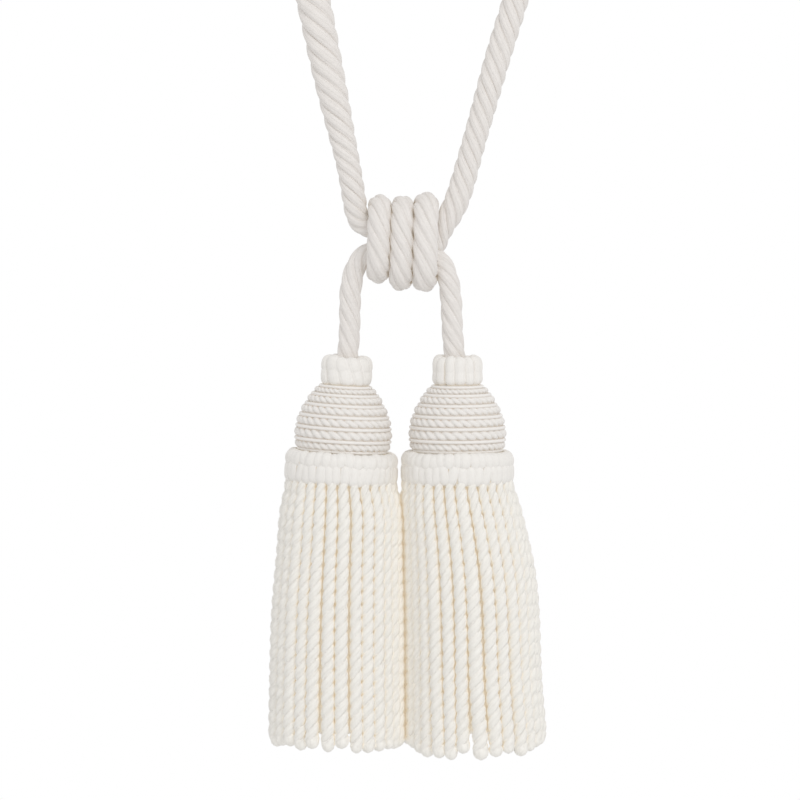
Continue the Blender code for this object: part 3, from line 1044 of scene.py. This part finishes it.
class Recipe:
    """A material and its nodes."""

    def __init__(self, name):
        self.material = bpy.data.materials.new(name)
        self.material.use_nodes = True
        self.tree = self.material.node_tree
        self.shader = self.tree.nodes["Principled BSDF"]

    def node(self, kind, settings, *values, output=0, **named):
        made = self.tree.nodes.new(kind)
        for setting, value in settings.items():
            setattr(made, setting, value)
        for socket, value in zip(made.inputs, values):
            self.feed(socket, value)
        for socket_name, value in named.items():
            self.feed(made.inputs[socket_name], value)
        return Socket(self, made.outputs[output])

    def feed(self, socket, value):
        if isinstance(value, Socket):
            self.tree.links.new(value.output, socket)
        elif value is not None:
            socket.default_value = value

    def mix_colours(self, share, low, high):
        """A Mix node's two colours come after five sockets that are left as they are."""
        return self.node("ShaderNodeMix", {"data_type": "RGBA"}, share, *[None] * 5, low, high, output=2)


# %% [markdown]
# ## The yarn finish
#
# All the yarns are soft ivory cotton, seen at different sizes. Along each, fine fibres run in
# shallow lines that turn with the twist, and the colour wanders a little; the creases between the
# lines are painted darker, as painted shade. Cotton lets light through, so the hollows between
# yarns are never black: light that has gone through many fibres comes out warm, almost tan.
# Subsurface scattering could show that, but it can't be baked. So an ambient occlusion node with
# a short reach measures how deep in a hollow a point lies, paints it a darker warm colour as
# painted shade, and adds a painted glow for that light; shallower valleys are painted towards the
# shade colour. A second one, with a wide reach, finds the broad hollows, such as those between
# the two fringes, and paints a fainter glow there.

# %% A finish for each kind of yarn
def colour(red, green, blue):
    return (red, green, blue, 1.0)


YARN_NOISE_SCALE = 2.0
SLUB_STEPS = (0.6, 0.12)
SLUB_DETAIL = 3.0
SLUB_RANGE = (0.3, 0.7)
FIBRE_STEPS = (5.0, 0.3)
FIBRE_DETAIL = 2.0
FIBRE_RANGE = (0.35, 0.65)
FLUFF_SCALE = 900.0
FLUFF_DETAIL = 3.0
CREASE_WIDTH = 0.55
AIR_SAMPLES = 6
HIDDEN_BELOW = 0.36
VALLEY_FROM = 0.35
WIDE_REACH = 25.0
WIDE_HOLLOW = (0.2, 0.7)


def yarn_noise(recipe, around, along, steps, detail):
    """Noise that runs round a yarn and along it, by steps round and in each millimetre along."""
    round_step, along_step = steps
    x = around.cosine() * round_step
    y = around.sine() * round_step
    spot = recipe.node("ShaderNodeCombineXYZ", {}, x, y, along * along_step)
    return recipe.node("ShaderNodeTexNoise", {}, Vector=spot, Scale=YARN_NOISE_SCALE, Detail=detail)


def open_air(recipe, reach):
    """How open a point lies: one in the open, nought deep in a hollow."""
    settings = {"samples": AIR_SAMPLES}
    return recipe.node("ShaderNodeAmbientOcclusion", settings, Distance=reach * MM, output=1)


# %% How the yarns' parts add up
PLAIN_BRIGHT = 0.55
SLUB_BRIGHT = 0.2
FIBRE_BRIGHT = 0.25
CREASE_SHADE = 0.3
FIBRE_HEIGHT = 0.8
FLUFF_HEIGHT = 0.6
CREASE_HEIGHT = 0.5
BUMP_STRENGTH = 0.7
FLUFF_ROUGH = 0.2
SHEEN = 0.1
SHEEN_ROUGHNESS = 0.4
SPECULAR = 0.3
BLACK = colour(0.0, 0.0, 0.0)


def yarn_finish(name, light, shade, hollow_shade, glow, wide_glow, reach, yarn_lines, relief, roughness, valley_shade):
    """Cotton from light to shade, with painted shade and a painted glow in its hollows."""
    recipe = Recipe(name)
    shader = recipe.shader.inputs
    yarn_map = recipe.node("ShaderNodeUVMap", {"uv_map": "yarn"})
    across = recipe.node("ShaderNodeSeparateXYZ", {}, yarn_map)
    along = recipe.node("ShaderNodeSeparateXYZ", {}, yarn_map, output=1)
    around = across * (2 * math.pi)
    slub = yarn_noise(recipe, around, along, SLUB_STEPS, SLUB_DETAIL)
    fibres = yarn_noise(recipe, around, along, FIBRE_STEPS, FIBRE_DETAIL)
    place = recipe.node("ShaderNodeNewGeometry", {})
    fluff = recipe.node("ShaderNodeTexNoise", {}, Vector=place, Scale=FLUFF_SCALE, Detail=FLUFF_DETAIL)
    crease = 1 - (across * (math.pi * yarn_lines)).cosine().size().between(0.0, CREASE_WIDTH)

    near_air = open_air(recipe, reach)
    hidden = 1 - near_air.between(0.0, HIDDEN_BELOW)
    valley = 1 - near_air.between(VALLEY_FROM, 1.0)
    hollow = 1 - open_air(recipe, WIDE_REACH).between(*WIDE_HOLLOW)

    patches = slub.between(*SLUB_RANGE) * SLUB_BRIGHT + fibres.between(*FIBRE_RANGE) * FIBRE_BRIGHT
    # painted shade: the creases between yarn lines and the valleys between yarns are darkened
    bright = patches + PLAIN_BRIGHT - crease * slub * CREASE_SHADE - valley * valley_shade
    body = recipe.mix_colours(bright, shade, light)
    # painted shade: deep hollows take the darker, warmer hollow colour
    recipe.feed(shader["Base Color"], recipe.mix_colours(hidden, body, hollow_shade))
    # painted glow: emission in the deep and the broad hollows stands in for light through the cotton
    let_through = recipe.mix_colours(hollow, BLACK, wide_glow)
    recipe.feed(shader["Emission Color"], recipe.mix_colours(hidden, let_through, glow))
    recipe.feed(shader["Emission Strength"], 1.0)

    height = fibres * FIBRE_HEIGHT + fluff * FLUFF_HEIGHT - crease * CREASE_HEIGHT
    bump = recipe.node("ShaderNodeBump", {}, Strength=BUMP_STRENGTH, Distance=relief * MM, Height=height)
    recipe.feed(shader["Normal"], bump)
    recipe.feed(shader["Roughness"], fluff * FLUFF_ROUGH + roughness)
    recipe.feed(shader["Sheen Weight"], SHEEN)
    recipe.feed(shader["Sheen Roughness"], SHEEN_ROUGHNESS)
    recipe.feed(shader["Specular IOR Level"], SPECULAR)
    return recipe.material


# %% The five finishes
# In each finish, the hollow, valley and glow colours are painted shade and painted glow.
ROPE = yarn_finish(
    "rope_yarn",
    light=colour(0.81, 0.776, 0.747),
    shade=colour(0.665, 0.63, 0.594),
    hollow_shade=colour(0.50, 0.45, 0.385),
    glow=colour(0.13, 0.11, 0.085),
    wide_glow=colour(0.075, 0.07, 0.062),
    reach=2.4,
    yarn_lines=PLY_RIDGES,
    relief=0.25,
    roughness=0.5,
    valley_shade=0.25,
)
HEAD = yarn_finish(
    "head_yarn",
    light=colour(0.86, 0.832, 0.80),
    shade=colour(0.79, 0.757, 0.725),
    hollow_shade=colour(0.67, 0.62, 0.565),
    glow=colour(0.23, 0.205, 0.18),
    wide_glow=colour(0.04, 0.035, 0.028),
    reach=0.9,
    yarn_lines=3,
    relief=0.1,
    roughness=0.45,
    valley_shade=0.1,
)
# The bell shows only in the heads' notches; its darker tan colour is painted shade there.
MOULD_SHADE = yarn_finish(
    "mould",
    light=colour(0.72, 0.67, 0.61),
    shade=colour(0.68, 0.63, 0.57),
    hollow_shade=colour(0.54, 0.48, 0.41),
    glow=colour(0.17, 0.145, 0.115),
    wide_glow=colour(0.04, 0.035, 0.028),
    reach=1.0,
    yarn_lines=3,
    relief=0.1,
    roughness=0.6,
    valley_shade=0.2,
)
HEADING = yarn_finish(
    "gathered_heading",
    light=colour(0.855, 0.832, 0.80),
    shade=colour(0.765, 0.737, 0.695),
    hollow_shade=colour(0.66, 0.61, 0.52),
    glow=colour(0.27, 0.235, 0.18),
    wide_glow=colour(0.08, 0.075, 0.065),
    reach=1.8,
    yarn_lines=5,
    relief=0.2,
    roughness=0.6,
    valley_shade=0.1,
)
COTTON = yarn_finish(
    "soft_cotton",
    light=colour(0.925, 0.902, 0.856),
    shade=colour(0.78, 0.75, 0.688),
    hollow_shade=colour(0.64, 0.575, 0.465),
    glow=colour(0.25, 0.215, 0.16),
    wide_glow=colour(0.155, 0.147, 0.134),
    reach=5.0,
    yarn_lines=5,
    relief=0.25,
    roughness=0.6,
    valley_shade=0.0,
)

for piece in (loop_cord, wrap_cord, tail_cord):
    piece.data.materials.append(ROPE)
for head, mould in heads.values():
    head.data.materials.append(HEAD)
    mould.data.materials.append(MOULD_SHADE)
for piece in (*collars.values(), *headings.values()):
    piece.data.materials.append(HEADING)
for skirt in skirts.values():
    skirt.data.materials.append(COTTON)
print("materials:", [m.name for m in bpy.data.materials])

# %% [markdown]
# ## Light and floor
#
# The tieback hangs in a white studio. A pale floor lies well below it, under the picture's lower
# edge, and white surrounds light it from all sides. A large soft light, high at the front right,
# gives the plies their shape.

# %% Studio floor
FLOOR_PLACE = (0, 0, -0.75)
FLOOR_RADIUS = 1.3
FLOOR_SIDES = 96
FLOOR_COLOUR = colour(0.85, 0.85, 0.85)
FLOOR_ROUGHNESS = 0.9


def make_floor():
    bpy.ops.mesh.primitive_circle_add(
        vertices=FLOOR_SIDES, radius=FLOOR_RADIUS, fill_type="NGON", location=FLOOR_PLACE
    )
    floor = bpy.context.object
    floor.name = "floor"
    recipe = Recipe("pale_floor")
    recipe.feed(recipe.shader.inputs["Base Color"], FLOOR_COLOUR)
    recipe.feed(recipe.shader.inputs["Roughness"], FLOOR_ROUGHNESS)
    floor.data.materials.append(recipe.material)
    print("floor's width in m:", 2 * FLOOR_RADIUS)


make_floor()

# %% Studio light
SURROUND_LIGHT = 0.87
WHITE = colour(1.0, 1.0, 1.0)
KEY_PLACE = (0.85, -2.05, 1.0)
KEY_SIZE = 1.0
KEY_POWER = 13.5


def make_surroundings():
    """White to the eye, and a softer light on the tieback."""
    world = bpy.data.worlds.new("studio")
    bpy.context.scene.world = world
    world.use_nodes = True
    nodes = world.node_tree.nodes
    links = world.node_tree.links
    seen = nodes["Background"]
    seen.inputs["Color"].default_value = WHITE
    seen.inputs["Strength"].default_value = 1.0
    cast = nodes.new("ShaderNodeBackground")
    cast.inputs["Color"].default_value = WHITE
    cast.inputs["Strength"].default_value = SURROUND_LIGHT
    path = nodes.new("ShaderNodeLightPath")
    mix = nodes.new("ShaderNodeMixShader")
    links.new(path.outputs["Is Camera Ray"], mix.inputs[0])
    links.new(cast.outputs[0], mix.inputs[1])
    links.new(seen.outputs[0], mix.inputs[2])
    links.new(mix.outputs[0], nodes["World Output"].inputs[0])


def add_key_light():
    """One large soft light, high at the front right."""
    light = bpy.data.lights.new("key", "AREA")
    light.shape = "DISK"
    light.size = KEY_SIZE
    light.energy = KEY_POWER
    lamp = bpy.data.objects.new("key", light)
    bpy.context.scene.collection.objects.link(lamp)
    lamp.location = KEY_PLACE
    lamp.rotation_euler = (PICTURE_CENTRE - Vector(KEY_PLACE)).to_track_quat("-Z", "Y").to_euler()
    print("key light in W:", light.energy)


make_surroundings()
add_key_light()
bpy.context.scene.view_settings.view_transform = "Standard"
